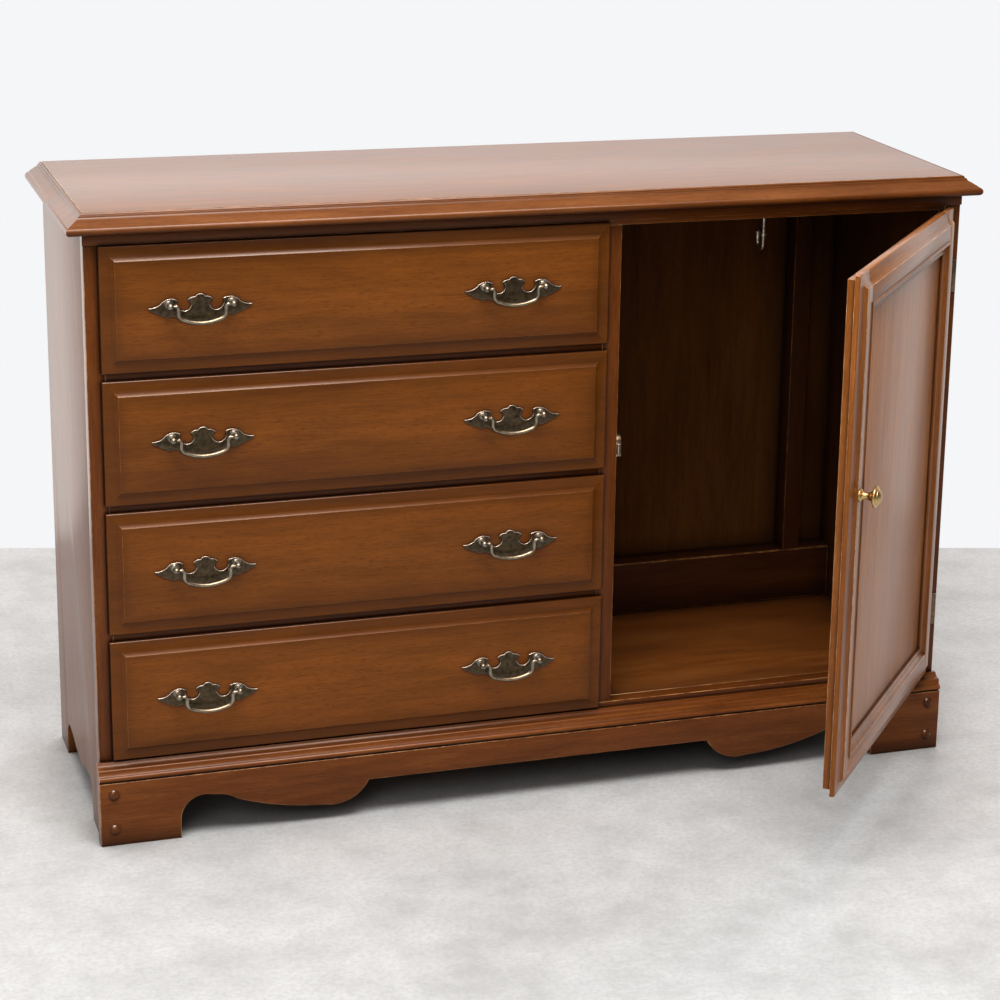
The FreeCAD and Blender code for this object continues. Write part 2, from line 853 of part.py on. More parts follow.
# Hook
def coat_hook():
    """A screw-in ceiling hook: flange, shank with a ball collar, and a round bend with a ball tip."""
    x = half_width - hook_from_right
    y = face_y + hook_from_front
    wire = hook_wire_radius
    bend = hook_bend_radius
    elbow = top_underside - hook_drop + bend + wire

    def place(back, up):
        return V(x, y + back, elbow + up)

    tip = V(x, y + 2 * bend, elbow + 11.0)
    pieces = [
        Part.makeCone(8.0, 4.4, 4.0, V(x, y, top_underside), V(0, 0, -1)),
        Part.makeSphere(wire * 1.8, V(x, y, top_underside - hook_collar_drop)),
        rod_bend(place, (bend, 0.0), bend, 180.0, 180.0, wire),
        rod(place(2 * bend, 0.0), tip, wire),
        Part.makeSphere(wire * 1.5, tip),
    ]
    return rod(place(0.0, 0.0), V(x, y, top_underside), wire).fuse(pieces)


# Save every piece
os.makedirs("parts", exist_ok=True)

save("top_panel", top_panel())
save("top_edge_moulding", *top_edge_moulding())
save("frieze", frieze())
save("side_panel_left", side_panel(-1))
save("side_panel_right", side_panel(1))
save("partition", partition())
save("face_stile_left", stile(-half_width, drawer_left, 0.0, top_underside))
save("face_stile_centre", stile(drawer_right, cupboard_left, opening_bottom, opening_top))
save("face_stile_right", stile(cupboard_right, half_width, 0.0, top_underside))
save("top_rail", stile(drawer_left, cupboard_right, opening_top, top_underside))
save("bottom_rail", stile(drawer_left, cupboard_right, opening_bottom - bottom_rail_height, opening_bottom))
save("drawer_rails", *drawer_rails())
save("drawer_runners", *drawer_runners())
save("cupboard_floor", cupboard_floor())
save("back_panel", back_panel())
save("back_rails", *back_rails())
save("back_post", back_post())
save("base_apron", base_apron())
save("base_moulding", base_moulding())
save("apron_pegs", *apron_pegs())
save("rear_base_board", rear_base_board())
save("hinge_frame_leaves", *[hinge_frame_leaf(height) for height in hinge_heights])
save("catch", catch())
save("coat_hook", coat_hook())

latch_stile, hinge_stile, door_rails, door_panel = door_pieces()
door_nodes = {
    "door_latch_stile": [latch_stile],
    "door_hinge_stile": [hinge_stile],
    "door_rails": list(door_rails),
    "door_panel": [door_panel],
    "door_moulding": list(door_moulding()),
    "door_knob": [door_knob()],
    "door_strike_plate": [strike_plate()],
    "hinge_door_leaves": [hinge_door_leaf(height) for height in hinge_heights],
}
for node, solids in door_nodes.items():
    for solid in solids:
        solid.rotate(V(hinge_x, hinge_y, 0), V(0, 0, 1), door_rest_angle)
    save(node, *solids)

drawer_front, drawer_side_left, drawer_side_right, drawer_back, drawer_bottom = drawer_pieces()
plate = pull_plate()
posts = [pull_post(-1), pull_post(1)]
grip = bail()
pull_middle_x = (drawer_left + drawer_right) / 2 + pull_shift
pull_z = opening_top - drawer_opening_height / 2 + pull_lift
for row in range(drawer_count):
    name = "drawer_" + str(row + 1)
    lower = V(0, 0, -row * drawer_pitch)
    save(name + "_front", drawer_front.translated(lower))
    save(name + "_sides", drawer_side_left.translated(lower), drawer_side_right.translated(lower))
    save(name + "_back", drawer_back.translated(lower))
    save(name + "_bottom", drawer_bottom.translated(lower))
    pull_solids = []
    for hand, side in (("left", -1), ("right", 1)):
        centre = V(pull_middle_x + side * pull_spacing / 2, field_y, pull_z - row * drawer_pitch)
        pull_solids += [solid.translated(centre) for solid in [plate] + posts]
        save(name + "_bail_" + hand, grip.translated(centre))
    save(name + "_pulls", *pull_solids)
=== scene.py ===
import json
import math
import random

import bmesh
import bpy
from mathutils import Matrix, Vector


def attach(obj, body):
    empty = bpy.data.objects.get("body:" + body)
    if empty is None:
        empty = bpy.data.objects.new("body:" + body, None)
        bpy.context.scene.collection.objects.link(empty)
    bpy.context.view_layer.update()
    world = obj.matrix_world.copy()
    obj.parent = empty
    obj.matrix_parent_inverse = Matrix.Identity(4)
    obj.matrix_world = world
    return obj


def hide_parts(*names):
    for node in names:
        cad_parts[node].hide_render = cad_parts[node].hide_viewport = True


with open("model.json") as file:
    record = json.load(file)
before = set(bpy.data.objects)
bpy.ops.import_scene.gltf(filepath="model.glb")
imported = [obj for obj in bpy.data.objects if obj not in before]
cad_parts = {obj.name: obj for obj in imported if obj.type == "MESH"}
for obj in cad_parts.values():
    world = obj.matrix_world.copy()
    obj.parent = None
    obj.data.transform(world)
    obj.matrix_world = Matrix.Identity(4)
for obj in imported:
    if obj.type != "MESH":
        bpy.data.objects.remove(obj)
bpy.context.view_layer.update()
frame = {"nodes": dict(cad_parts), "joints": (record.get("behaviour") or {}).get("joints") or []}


# Camera
# A long lens stands to the left of the front, a little above the top, and looks down on it.
# It was fitted to the edges in the photograph, with a slight shift of the lens and a slight roll.
camera_data = bpy.data.cameras.new("camera")
camera = bpy.data.objects.new("camera", camera_data)
bpy.context.scene.collection.objects.link(camera)
bpy.context.scene.camera = camera
camera_data.sensor_width = 36.0
camera_data.lens = 94.48
camera_data.shift_x = -0.10
camera_data.shift_y = -0.07
camera_data.clip_start = 0.1
camera_data.clip_end = 60.0
camera_heading = math.radians(19.51)
camera_tilt = math.radians(16.02)
camera_roll = math.radians(-1.35)
camera_place = Vector((-1.0037, -3.3494, 1.4184))
forward = Vector((
    math.sin(camera_heading) * math.cos(camera_tilt),
    math.cos(camera_heading) * math.cos(camera_tilt),
    -math.sin(camera_tilt),
))
level_right = Vector((math.cos(camera_heading), -math.sin(camera_heading), 0.0))
level_up = level_right.cross(forward)
right = level_right * math.cos(camera_roll) - level_up * math.sin(camera_roll)
up = level_right * math.sin(camera_roll) + level_up * math.cos(camera_roll)
camera_turn = Matrix((right, up, -forward)).transposed().to_4x4()
camera.matrix_world = Matrix.Translation(camera_place) @ camera_turn

bpy.context.scene.view_settings.view_transform = "Standard"


# Floor
# The dresser stands on a pale cement screed, trowelled smooth and left bare.
# It is one flat sheet that ends at the foot of the white wall behind.
mm_per_metre = 1000.0


def linear(hex_colour):
    """An sRGB hex colour as linear red, green, blue and alpha."""
    values = []
    for at in (1, 3, 5):
        part = int(hex_colour[at:at + 2], 16) / 255
        values.append(part / 12.92 if part <= 0.04045 else ((part + 0.055) / 1.055) ** 2.4)
    return (*values, 1.0)


def add(tree, kind, inputs=(), stops=(), **settings):
    """Adds a node with its settings, and sets or links its inputs, by name or in their order.

    An input is a number, an sRGB hex colour, an output, or a whole node for its first output in
    use. Each stop of a colour ramp is a position with a hex colour or a grey.
    """
    node = tree.nodes.new("ShaderNode" + kind)
    for name, value in settings.items():
        setattr(node, name, value)
    if stops:
        elements = node.color_ramp.elements
        while len(elements) < len(stops):
            elements.new(0.5)
        for element, (position, colour) in zip(elements, stops):
            element.position = position
            element.color = linear(colour) if isinstance(colour, str) else (colour, colour, colour, 1.0)
    in_use = [socket for socket in node.inputs if socket.enabled]
    for key, value in inputs.items() if isinstance(inputs, dict) else enumerate(inputs):
        socket = node.inputs[key] if isinstance(key, str) else in_use[key]
        if isinstance(value, bpy.types.Node):
            value = next(output for output in value.outputs if output.enabled)
        if isinstance(value, bpy.types.NodeSocket):
            tree.links.new(value, socket)
        else:
            socket.default_value = linear(value) if isinstance(value, str) else value
    return node


def new_material(name):
    """A material whose node tree is empty, and that tree."""
    material = bpy.data.materials.new(name)
    material.use_nodes = True
    material.node_tree.nodes.clear()
    return material, material.node_tree


# Trowelled concrete gives soft grey clouds with darker specks, matt, and a painted shadow
# below the case.
# Its sizes are in millimetres: broad patches, trowel clouds, specks of sand, and the sand's grit.
# The grit is coarser than real sand, because a finer one doesn't show in the render.
concrete, paste = new_material("trowelled_concrete")
on_floor = add(paste, "TexCoord").outputs["Object"]
patches, clouds, specks, grit = [
    add(paste, "TexNoise", {
        "Vector": on_floor, "Scale": mm_per_metre / size, "Detail": detail, "Roughness": coarseness,
    })
    for size, detail, coarseness in (
        (556.0, 4.0, 0.55),
        (90.9, 8.0, 0.72),
        (6.67, 3.0, 0.7),
        (1.43, 2.0, 0.5),
    )
]
clouded = add(paste, "Math", (clouds, 0.6), operation="MULTIPLY")
greyness = add(paste, "Math", (patches, 0.4, clouded), operation="MULTIPLY_ADD")
grey = add(paste, "ValToRGB", (greyness,), ((0.36, "#bbbbba"), (0.48, "#cdcdcc"), (0.61, "#dcdcdb")))
speckled = add(paste, "ValToRGB", (specks,), ((0.38, 0.3), (0.58, 0.0)))
grey = add(paste, "Mix", (speckled, grey, "#a9a9a7"), data_type="RGBA")
# The floor is painted dark grey where the case stands over it: a painted shadow from occlusion.
open_sky = add(paste, "AmbientOcclusion", {"Distance": 0.16}, samples=6).outputs["AO"]
painted_shadow_below_case = add(paste, "ValToRGB", (open_sky,), ((0.2, 0.75), (0.75, 0.0)))
grey = add(paste, "Mix", (painted_shadow_below_case, grey, "#3b3835"), data_type="RGBA")
sandy = add(paste, "Bump", {"Strength": 0.12, "Distance": 0.0004, "Height": grit})
screed = add(paste, "BsdfPrincipled", {"Base Color": grey, "Roughness": 0.62, "Normal": sandy})
add(paste, "OutputMaterial", {"Surface": screed})

wall_foot_row = 548.0
beyond_left = -2500.0
beyond_right = 3500.0
floor_run = 14.0


def floor_point(column, row):
    """Where the sight line through a place in the picture, in thousandths, meets the floor."""
    sideways = (column / 1000 - 0.5 + camera_data.shift_x) * camera_data.sensor_width
    upward = (0.5 - row / 1000 + camera_data.shift_y) * camera_data.sensor_width
    sight = forward * camera_data.lens + right * sideways + up * upward
    return camera_place - sight * (camera_place.z / sight.z)


far_left = floor_point(beyond_left, wall_foot_row)
far_right = floor_point(beyond_right, wall_foot_row)
towards_viewer = (far_right - far_left).cross(Vector((0.0, 0.0, 1.0))).normalized() * floor_run
floor_corners = (far_left, far_left + towards_viewer, far_right + towards_viewer, far_right)
floor_mesh = bpy.data.meshes.new("floor")
floor_mesh.from_pydata([tuple(corner) for corner in floor_corners], [], [(0, 1, 2, 3)])
floor_mesh.materials.append(concrete)
floor = bpy.data.objects.new("floor", floor_mesh)
bpy.context.scene.collection.objects.link(floor)


# Studio light
# A plain white wall is seen behind, and the room before it lights the front faces softly.
# The varnish mirrors a different room: bright behind and to the left, with a warm lamp overhead.
world = bpy.data.worlds.new("studio")
bpy.context.scene.world = world
world.use_nodes = True
room = world.node_tree
room.nodes.clear()
direction = add(room, "TexCoord").outputs["Generated"]
parts = add(room, "SeparateXYZ", (direction,))
ray = add(room, "LightPath")

# The soft light on the faces comes mostly from the back of the room and a little from the right.
backness = add(room, "Math", (parts.outputs["Y"], 0.5, 0.5), operation="MULTIPLY_ADD")
glow = add(room, "ValToRGB", (backness,), ((0.2, 0.10), (0.5, 0.32), (0.75, 1.08), (1.0, 1.45)))
rightness = add(room, "Math", (parts.outputs["X"], 0.0), operation="MAXIMUM")
glow = add(room, "Math", (rightness, 0.3, glow), operation="MULTIPLY_ADD")
soft_light = add(room, "Background", {"Color": "#fafbfd", "Strength": glow})

# The room that shows in varnish and brass is dim in front, and its ceiling is warm.
mirrored_back = add(
    room, "ValToRGB", (backness,), ((0.0, 0.06), (0.42, 0.10), (0.62, 0.56), (1.0, 0.88)),
)
leftward = add(room, "Math", (parts.outputs["X"], -0.3, 0.9), operation="MULTIPLY_ADD")
mirrored_room = add(room, "Math", (mirrored_back, leftward), operation="MULTIPLY")
towards_lamp = add(room, "VectorMath", (direction, (-0.10, -0.42, 0.90)), operation="DOT_PRODUCT")
lamp = add(room, "ValToRGB", (towards_lamp,), ((0.88, 0.0), (0.965, 1.0)))
lamp = add(room, "Math", (lamp, 2.8), operation="MULTIPLY")
brightest = add(room, "Math", (mirrored_room, lamp), operation="MAXIMUM")
shine = add(room, "Math", (brightest, 2.0), operation="MULTIPLY")
warmth = add(room, "ValToRGB", (parts.outputs["Z"],), ((0.36, 0.0), (0.55, 1.0)))
tint = add(room, "Mix", (warmth, "#fdf9f5", "#ffc795"), data_type="RGBA")
reflected = add(room, "Background", {"Color": tint, "Strength": shine})

# Seen straight, everything above the floor is the white wall.
white_wall = add(room, "Background", {"Color": "#f5f6f8", "Strength": 1.0})
lit = add(room, "MixShader", (ray.outputs["Is Glossy Ray"], soft_light, reflected))
seen = add(room, "MixShader", (ray.outputs["Is Camera Ray"], lit, white_wall))
add(room, "OutputWorld", {"Surface": seen})


def soft_box(name, place, aim, width, depth, power):
    """A rectangular lamp at a place, turned to the point that it lights."""
    data = bpy.data.lights.new(name, "AREA")
    data.shape = "RECTANGLE"
    data.size = width
    data.size_y = depth
    data.energy = power
    box = bpy.data.objects.new(name, data)
    box.location = place
    box.rotation_euler = (Vector(aim) - Vector(place)).to_track_quat("-Z", "Y").to_euler()
    bpy.context.scene.collection.objects.link(box)


soft_box("overhead_box", (-0.45, -1.4, 3.4), (0.0, -0.4, 0.0), width=2.2, depth=1.3, power=116.0)
soft_box("front_fill", (-2.4, -4.6, 3.2), (0.0, -0.2, 0.35), width=2.2, depth=2.2, power=56.0)


# Top
# One wide board of stained brown hardwood with a groove scratched round it. An ogee moulding,
# mitred at the front corners, is glued to three edges, and a thin frieze strip below them.


def varnished_wood(
    name, dark, mid, light, worn_and_highlight="#bb8450", grime_and_shade="#1d0c04", shaded=0.3, sheen=1.0, roughness=0.34,
    pores=0.5, figure=0.5, waves=0.2, hollow=0.005,
):
    """Stained timber under a rubbed satin varnish, with its figure along the grain attribute's X.

    The three first colours are the stain. The next is the pale arris, partly bare wood and partly
    painted highlight, and the last is the dark of hollows, rims and undersides, partly dirt and
    partly painted shade. The rest are shares: painted shade and darker stain at the ends, sheen,
    pores, ring figure and waves of the varnish. The hollow is how near two faces take the dark.
    """
    material, tree = new_material(name)
    grain = add(tree, "Attribute", attribute_name="grain").outputs["Vector"]

    # The rings wander by some millimetres, because a trunk is never quite round or straight.
    wander_long = mm_per_metre / 417
    wander_wide = mm_per_metre / 111
    most_wander = 0.014
    along = add(tree, "Mapping", {"Vector": grain, "Scale": (wander_long, wander_wide, wander_wide)})
    drift = add(tree, "TexNoise", {"Vector": along, "Scale": 1.0, "Detail": 3.0, "Roughness": 0.5})
    shift = add(tree, "VectorMath", (drift.outputs["Color"], (0.5, 0.5, 0.5)), operation="SUBTRACT")
    shift = add(tree, "VectorMath", (shift, most_wander), operation="SCALE")
    bent = add(tree, "VectorMath", (grain, shift), operation="ADD")

    # The heart of the trunk lies below the board and slopes along it, so the rings run out.
    heart_depth = 0.11
    heart_slope = 0.045
    rings_per_metre = mm_per_metre / 7.69
    parts = add(tree, "SeparateXYZ", (bent,))
    depth = add(tree, "Math", (parts.outputs["X"], heart_slope, heart_depth), operation="MULTIPLY_ADD")
    depth = add(tree, "Math", (depth, parts.outputs["Z"]), operation="ADD")
    depth_squared = add(tree, "Math", (depth, 2.0), operation="POWER")
    width_squared = add(tree, "Math", (parts.outputs["Y"], 2.0), operation="POWER")
    radius = add(tree, "Math", (width_squared, depth_squared), operation="ADD")
    radius = add(tree, "Math", (radius,), operation="SQRT")
    ring = add(tree, "Math", (radius, rings_per_metre), operation="MULTIPLY")
    ring = add(tree, "Math", (ring,), operation="FRACT")
    ring = add(
        tree, "ValToRGB", (ring,), ((0.0, 0.7), (0.2, 0.45), (0.7, 0.35), (0.92, 0.8), (1.0, 0.7)),
    )

    # Each pattern has its length along the grain and its width across it in millimetres.
    # Real streaks and pores are a few tenths of a millimetre wide. That is too fine to show in
    # the render, and so they are drawn one to two millimetres wide.
    streaks, fibres, clouds, patches, ripples = [
        add(tree, "TexNoise", {
            "Vector": add(tree, "Mapping", {
                "Vector": path,
                "Scale": (mm_per_metre / length, mm_per_metre / width, mm_per_metre / width),
            }),
            "Scale": 1.0, "Detail": detail, "Roughness": coarseness,
        })
        for path, length, width, detail, coarseness in (
            (bent, 50.0, 1.92, 5.0, 0.68),
            (bent, 11.1, 1.11, 2.0, 0.5),
            (bent, 111.0, 14.3, 4.0, 0.6),
            (grain, 333.0, 55.6, 5.0, 0.6),
            (grain, 143.0, 6.67, 3.0, 0.5),
        )
    ]
    tone = add(tree, "Math", (streaks, 0.32), operation="MULTIPLY")
    tone = add(tree, "Math", (patches, 0.38, tone), operation="MULTIPLY_ADD")
    tone = add(tree, "Math", (clouds, 0.3, tone), operation="MULTIPLY_ADD")
    ring = add(tree, "Math", (ring, 0.07 * figure), operation="MULTIPLY")
    tone = add(tree, "Math", (tone, ring), operation="SUBTRACT")
    colour = add(tree, "ValToRGB", (tone,), ((0.31, dark), (0.47, mid), (0.64, light)))

    # The rim of a board is darker, with a soft and uneven border: partly stain wiped darker there,
    # and partly painted shade, as on the border round a drawer's raised field.
    place = add(tree, "Attribute", attribute_name="place").outputs["Vector"]
    place = add(tree, "VectorMath", (place,), operation="ABSOLUTE")
    reach = add(tree, "Attribute", attribute_name="reach").outputs["Vector"]
    inward = add(tree, "VectorMath", (reach, place), operation="SUBTRACT")
    inward = add(tree, "SeparateXYZ", (inward,))
    from_rim = add(tree, "Math", (inward.outputs["X"], inward.outputs["Y"]), operation="MINIMUM")
    from_rim = add(tree, "Math", (patches, 0.012, from_rim), operation="MULTIPLY_ADD")
    rim = add(tree, "ValToRGB", (from_rim,), ((0.024, shaded), (0.036, shaded * 0.4), (0.08, 0.0)))
    colour = add(tree, "Mix", (rim, colour, grime_and_shade), data_type="RGBA")

    # Open pores hold the dark stain. The hollows between pieces are painted dark, partly wax and dirt
    # and partly painted shade, and wood a few centimetres from a standing part, such as a pull,
    # gets a painted contact shadow.
    pore = add(tree, "ValToRGB", (fibres,), ((0.56, 0.0), (0.68, 1.0)))
    pore = add(tree, "Math", (pore, pores), operation="MULTIPLY")
    colour = add(tree, "Mix", (pore, colour, dark), data_type="RGBA")
    corner = add(tree, "AmbientOcclusion", {"Distance": hollow}, samples=5).outputs["AO"]
    dirt_and_shade_in_corner = add(tree, "ValToRGB", (corner,), ((0.5, 0.9), (0.93, 0.0)))
    colour = add(tree, "Mix", (dirt_and_shade_in_corner, colour, grime_and_shade), data_type="RGBA")
    nearby = add(tree, "AmbientOcclusion", {"Distance": 0.03}, samples=4).outputs["AO"]
    painted_contact_shadow = add(tree, "ValToRGB", (nearby,), ((0.45, 0.65), (0.96, 0.0)))
    colour = add(tree, "Mix", (painted_contact_shadow, colour, grime_and_shade), data_type="RGBA")

    # Hands and dusters have rubbed the arrises to paler wood, in patches. Where the arris colour
    # is pale cream, as on the mouldings, it is also a painted highlight.
    arris = add(tree, "Attribute", attribute_name="arris").outputs["Fac"]
    rub_scale = mm_per_metre / 29.4
    rub = add(tree, "TexNoise", {"Vector": grain, "Scale": rub_scale, "Detail": 5.0, "Roughness": 0.75})
    rubbed = add(tree, "ValToRGB", (rub,), ((0.44, 0.15), (0.62, 0.9)))
    rubbed = add(tree, "Math", (rubbed, arris), operation="MULTIPLY")
    colour = add(tree, "Mix", (rubbed, colour, worn_and_highlight), data_type="RGBA")

    # The wood below is a little uneven, and the varnish above it lies in faint long ripples.
    rough = add(tree, "Math", (patches, 0.14, roughness - 0.07), operation="MULTIPLY_ADD")
    height = add(tree, "Math", (streaks, 0.4), operation="MULTIPLY")
    height = add(tree, "Math", (height, pore), operation="SUBTRACT")
    bump = add(tree, "Bump", {"Strength": 0.18, "Distance": 0.00012, "Height": height})
    skin = add(tree, "Bump", {"Strength": waves, "Distance": 0.0005, "Height": ripples})

    # The sheen shows at a low angle and where a face mirrors what is above, not in the hollows,
    # less in the streaks, and not on an underside, which instead is painted darker as painted shade.
    facing = add(tree, "LayerWeight", {"Blend": 0.5}).outputs["Facing"]
    mirrored = add(tree, "SeparateXYZ", (add(tree, "TexCoord").outputs["Reflection"],))
    low_angle = add(tree, "ValToRGB", (facing,), ((0.34, 0.06), (0.66, 1.0)))
    skyward = add(tree, "ValToRGB", (mirrored.outputs["Z"],), ((0.25, 0.0), (0.6, 1.0)))
    coat = add(tree, "Math", (low_angle, skyward), operation="MAXIMUM")
    normal = add(tree, "SeparateXYZ", (add(tree, "NewGeometry").outputs["Normal"],))
    upward = add(tree, "Math", (normal.outputs["Z"], 0.5, 0.5), operation="MULTIPLY_ADD")
    for cause, stops in (
        (facing, ((0.72, 1.0), (0.92, 0.55))),
        (streaks, ((0.3, sheen), (0.65, sheen * 0.72))),
        (corner, ((0.5, 0.15), (0.9, 1.0))),
        (upward, ((0.2, 0.0), (0.46, 1.0))),
    ):
        share = add(tree, "ValToRGB", (cause,), stops)
        coat = add(tree, "Math", (coat, share), operation="MULTIPLY")
    # A face turned downwards is painted darker: painted shade.
    underside = add(tree, "ValToRGB", (upward,), ((0.1, 0.6), (0.4, 0.0)))
    colour = add(tree, "Mix", (underside, colour, grime_and_shade), data_type="RGBA")

    surface = add(tree, "BsdfPrincipled", {
        "Base Color": colour, "Roughness": rough, "Normal": bump, "Specular IOR Level": 0.12,
        "Coat Weight": coat, "Coat Roughness": roughness * 0.8, "Coat IOR": 1.45, "Coat Normal": skin,
    })
    add(tree, "OutputMaterial", {"Surface": surface})
    return material


def merged(node):
    """The CAD node's mesh as a bmesh, with its doubles merged and its flat faces whole."""
    bm = bmesh.new()
    bm.from_mesh(frame["nodes"][node].data)
    bmesh.ops.remove_doubles(bm, verts=bm.verts, dist=0.00001)
    bmesh.ops.dissolve_limit(bm, angle_limit=math.radians(0.4), verts=bm.verts, edges=bm.edges)
    return bm


def ease_edges(bm, width, sharper_than=35.0, segments=2):
    """Rubs down every outer edge that is sharper than an angle in degrees, and marks its arris."""
    arris = bm.faces.layers.float.new("arris")
    least_angle = math.radians(sharper_than)
    edges = [edge for edge in bm.edges if edge.is_convex and edge.calc_face_angle(0.0) > least_angle]
    if not edges:
        return
    made = bmesh.ops.bevel(
        bm, geom=edges, offset=width, offset_type="OFFSET", segments=segments, profile=0.5,
        affect="EDGES", clamp_overlap=True, material=-1,
    )
    for face in made["faces"]:
        face[arris] = 1.0


def islands(bm):
    """The groups of connected vertices of a mesh."""
    seen = set()
    for start in bm.verts:
        if start in seen:
            continue
        group = []
        stack = [start]
        seen.add(start)
        while stack:
            vert = stack.pop()
            group.append(vert)
            for edge in vert.link_edges:
                other = edge.other_vert(vert)
                if other not in seen:
                    seen.add(other)
                    stack.append(other)
        yield group


def lay_grain(bm, order, seed, lengthwise, turned_back):
    """Stores each board's timber coordinates, its places from its middle and its half sizes.

    The order names the axes along, across and through the board, or lengthwise takes them by
    size. Each board is cut from a place of its own in the trunk.
    """
    grain = bm.verts.layers.float_vector.new("grain")
    place = bm.verts.layers.float_vector.new("place")
    reach = bm.verts.layers.float_vector.new("reach")
    most_along = 3.0
    most_across = 0.08
    most_through = 0.03
    chance = random.Random(seed)
    for group in islands(bm):
        cut_from = Vector((
            chance.uniform(-most_along, most_along),
            chance.uniform(-most_across, most_across),
            chance.uniform(-most_through, most_through),
        ))
        points = [turned_back @ vert.co for vert in group]
        low = Vector([min(point[axis] for point in points) for axis in range(3)])
        high = Vector([max(point[axis] for point in points) for axis in range(3)])
        middle = (low + high) / 2
        size = high - low
        axes = sorted(range(3), key=lambda axis: -size[axis]) if lengthwise else order
        for vert, point in zip(group, points):
            from_middle = Vector([point[axis] - middle[axis] for axis in axes])
            vert[grain] = from_middle + cut_from
            vert[place] = from_middle
            vert[reach] = Vector([high[axis] - middle[axis] for axis in axes])


def fix_in_place(bm, node, ending, body, material, smooth_below):
    """Makes the finished shape a piece that stands in for its CAD node and rides on its body."""
    mesh = bpy.data.meshes.new(node + ending)
    bm.to_mesh(mesh)
    bm.free()
    mesh.materials.append(material)
    mesh.shade_smooth()
    mesh.set_sharp_from_angle(angle=math.radians(smooth_below))
    piece = bpy.data.objects.new(node + ending, mesh)
    bpy.context.scene.collection.objects.link(piece)
    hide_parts(node)
    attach(piece, body)
    return piece


def board(
    node, wood, order, seed, body="carcass", ease=0.0007, sharper_than=35.0, lengthwise=False,
    turned_back=Matrix(),
):
    """A wooden piece: the CAD node's own shape with rubbed edges and its grain laid along it.

    A piece that stands askew at rest is turned back while its grain is laid.
    """
    bm = merged(node)
    if ease:
        ease_edges(bm, ease, sharper_than)
    lay_grain(bm, order, seed, lengthwise, turned_back)
    return fix_in_place(bm, node, "_board", body, wood, smooth_below=32.0)


along_x_flat = (0, 1, 2)
along_x_upright = (0, 2, 1)

# The stain of the case is a plain reddish brown, nearly even to its ends, under a full sheen.
case_wood = varnished_wood(
    "stained_hardwood_case", "#4d240a", "#6a3713", "#824a1f", worn_and_highlight="#c9925c", shaded=0.1,
)

# The ogee's arrises are painted pale, as rubbed wood and as painted highlight, and its hollows
# are painted dark, as wax and as painted shade.
crown_wood = varnished_wood(
    "stained_hardwood_crown", "#4a230a", "#683713", "#824c22", worn_and_highlight="#eebc8e", sheen=0.7,
    shaded=0.0, waves=0.1, hollow=0.010,
)

board("top_panel", case_wood, along_x_flat, seed=3, ease=0.0004)
board(
    "top_edge_moulding", crown_wood, along_x_flat, seed=5, ease=0.0005, sharper_than=28.0,
    lengthwise=True,
)
board("frieze", case_wood, along_x_upright, seed=7, ease=0.0003)


# Case sides
# Solid upright boards of the same hardwood, with a low arch cut at the floor to leave two feet.
# They are glued to the top and the face frame. Their inner faces are left with the dark stain.
along_z_deep = (2, 1, 0)

# The sides are a little redder than the front and shine less, as they take more wear.
side_wood = varnished_wood(
    "stained_hardwood_side", "#4f290f", "#713e19", "#8b5527", sheen=0.48, shaded=0.1, figure=0.3,
)

# Wood inside the case has a coat of thin dark stain, and so it looks nearly black and dull.
dark_wood = varnished_wood(
    "stained_hardwood_inside", "#2d1606", "#40200a", "#543011", worn_and_highlight="#9a6434", sheen=0.3,
    roughness=0.5,
)

for side, inward, seed in (("left", 1, 11), ("right", -1, 12)):
    panel = board("side_panel_" + side, side_wood, along_z_deep, seed)
    panel.data.materials.append(dark_wood)
    for face in panel.data.polygons:
        if face.normal.x * inward > 0.9:
            face.material_index = 1


# Face frame
# Three narrow stiles and five rails of the same hardwood, jointed and glued into one frame.
# The frame is glued to the front edges of the sides and of the partition.
along_z_wide = (2, 0, 1)

for seed, node in enumerate(("face_stile_left", "face_stile_centre", "face_stile_right"), 21):
    board(node, case_wood, along_z_wide, seed)
for seed, node in enumerate(("top_rail", "bottom_rail", "drawer_rails"), 31):
    board(node, case_wood, along_x_upright, seed)


# Base
# A hardwood apron, sawn to brackets and drops, is screwed on with round pegs over the screws.
# A moulding with two beads is glued above it, and a plain board closes the back.

# The stain of the apron is even to its ends, with arrises that feet and brooms have rubbed.
base_wood = varnished_wood(
    "stained_hardwood_base", "#4e280d", "#6a3814", "#824a1f", worn_and_highlight="#c78a58", shaded=0.0,
)

# The beads' rubbed crowns are painted pale, as wear and as painted highlight, above quirks
# painted nearly black, as dirt and as painted shade.
bead_wood = varnished_wood(
    "stained_hardwood_moulding", "#522a0e", "#774018", "#945626", worn_and_highlight="#f6c79c", sheen=0.65,
    shaded=0.0, waves=0.1, hollow=0.012,
)

# End grain drinks more stain, and so the peg heads are dark under a glossier drop of varnish.
peg_wood = varnished_wood(
    "varnished_peg_heads", "#3c1d0b", "#5a2f14", "#7c4826", roughness=0.14, pores=0.2, shaded=0.0,
)

# Plywood and boards at the back have a thin wipe of stain and no varnish: brown, dry and dull.
back_wood = varnished_wood(
    "stained_plywood", "#42240d", "#573412", "#69401a", worn_and_highlight="#8a5c30", sheen=0.1, roughness=0.6,
)

board("base_apron", base_wood, along_x_upright, seed=41, ease=0.0009)
board("base_moulding", bead_wood, along_x_flat, seed=42, ease=0.0004, sharper_than=28.0)
board("apron_pegs", peg_wood, along_x_flat, seed=43, ease=0.0)
board("rear_base_board", back_wood, along_x_upright, seed=44)


# Inside of the case
# A partition, maple drawer runners, a cupboard floor, back rails, a post and a plywood back
# are glued and nailed inside the case. Most of them are stained without much varnish.
along_y_flat = (1, 0, 2)

